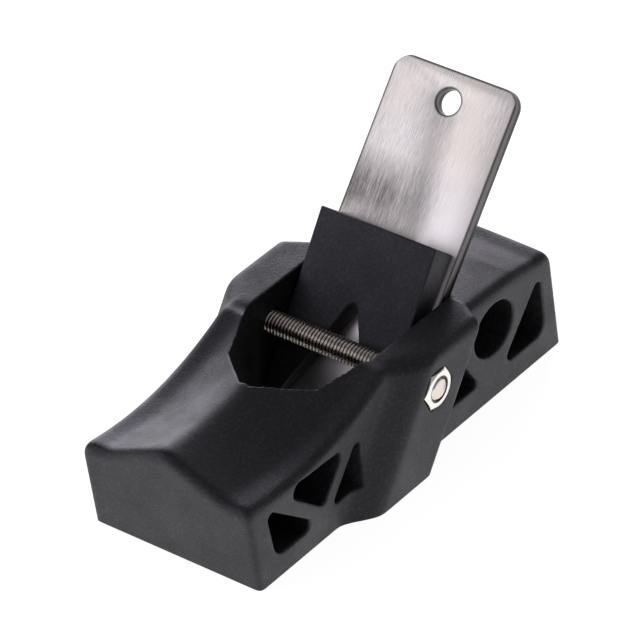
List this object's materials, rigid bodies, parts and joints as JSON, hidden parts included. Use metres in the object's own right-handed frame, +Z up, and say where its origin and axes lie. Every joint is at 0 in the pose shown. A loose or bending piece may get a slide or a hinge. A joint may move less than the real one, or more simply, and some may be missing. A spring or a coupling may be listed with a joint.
{
  "type": "hand plane",
  "caption": "Small woodworking hand plane: moulded body with lightening recesses, steel blade, forked wedge and threaded cross stud held by hexagon nuts.",
  "frame": {"origin": "on the sole plane, at the middle of the object's overall length and width", "axes": "+X along the sole from toe to heel, +Y across the sole towards the left cheek, +Z up from the sole"},
  "size_m": [0.1101, 0.0508, 0.0625],
  "materials": {
    "body_plastic": "fine moulded grain, matte",
    "blade_steel": "brushed along its length",
    "wedge_plastic": "fine moulded grain, matte",
    "stud_steel": "rolled thread",
    "nut_steel": "bright zinc plated"
  },
  "bodies": {
    "plane_body": {"body": "body_plastic", "cross_stud": "stud_steel", "nut_right": "nut_steel", "nut_left": "nut_steel"},
    "blade": {"blade": "blade_steel"},
    "wedge": {"wedge": "wedge_plastic"}
  },
  "joints": [
    {"name": "blade_slide", "type": "slide", "parent": "plane_body", "child": "blade", "axis": [0.6129, 0, 0.7902], "range_m": [-0.0008, 0.035]},
    {"name": "wedge_slide", "type": "slide", "parent": "plane_body", "child": "wedge", "axis": [0.6129, 0, 0.7902], "range_m": [0, 0.03]}
  ]
}
